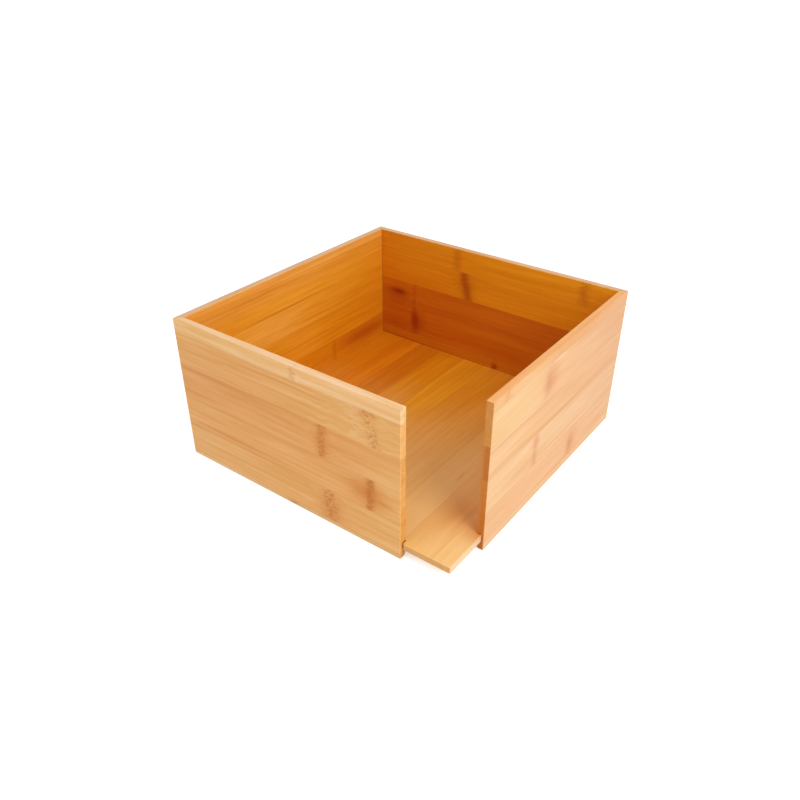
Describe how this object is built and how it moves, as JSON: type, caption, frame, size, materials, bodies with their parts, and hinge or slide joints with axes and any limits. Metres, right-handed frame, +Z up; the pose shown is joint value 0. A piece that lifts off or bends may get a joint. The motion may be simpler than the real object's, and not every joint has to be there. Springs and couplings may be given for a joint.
{
  "type": "napkin box",
  "caption": "Low square bamboo box, open at the top and at one corner, that holds a stack of napkins; fingers reach in at the corner.",
  "frame": {"origin": "middle of the footprint, on the plane that the box stands on", "axes": "+Z up; the front wall is at -Y and the right wall at +X, and the open corner lies between them"},
  "size_m": [0.186, 0.186, 0.0905],
  "materials": {
    "bamboo_pale": "satin clear lacquer",
    "bamboo_tan": "satin clear lacquer",
    "bamboo_honey": "satin clear lacquer",
    "bamboo_amber": "satin clear lacquer"
  },
  "bodies": {
    "root": {"front_wall_foot_strip": "bamboo_honey", "front_wall_second_strip": "bamboo_honey", "front_wall_third_strip": "bamboo_tan", "front_wall_fourth_strip": "bamboo_tan", "front_wall_fifth_strip": "bamboo_honey", "front_wall_rim_strip": "bamboo_pale", "right_wall_foot_strip": "bamboo_pale", "right_wall_second_strip": "bamboo_tan", "right_wall_third_strip": "bamboo_pale", "right_wall_fourth_strip": "bamboo_tan", "right_wall_fifth_strip": "bamboo_pale", "right_wall_rim_strip": "bamboo_honey", "back_wall_foot_strip": "bamboo_amber", "back_wall_second_strip": "bamboo_amber", "back_wall_third_strip": "bamboo_amber", "back_wall_fourth_strip": "bamboo_honey", "back_wall_rim_strip": "bamboo_amber", "left_wall_foot_strip": "bamboo_honey", "left_wall_second_strip": "bamboo_honey", "left_wall_third_strip": "bamboo_amber", "left_wall_fourth_strip": "bamboo_honey", "left_wall_fifth_strip": "bamboo_honey", "left_wall_rim_strip": "bamboo_honey", "base_left_strip": "bamboo_honey", "base_second_strip": "bamboo_amber", "base_third_strip": "bamboo_amber", "base_fourth_strip": "bamboo_honey", "base_fifth_strip": "bamboo_honey", "base_sixth_strip": "bamboo_honey", "base_seventh_strip": "bamboo_honey", "base_eighth_strip": "bamboo_pale", "base_ninth_strip": "bamboo_honey", "base_right_strip": "bamboo_pale"}
  },
  "joints": []
}
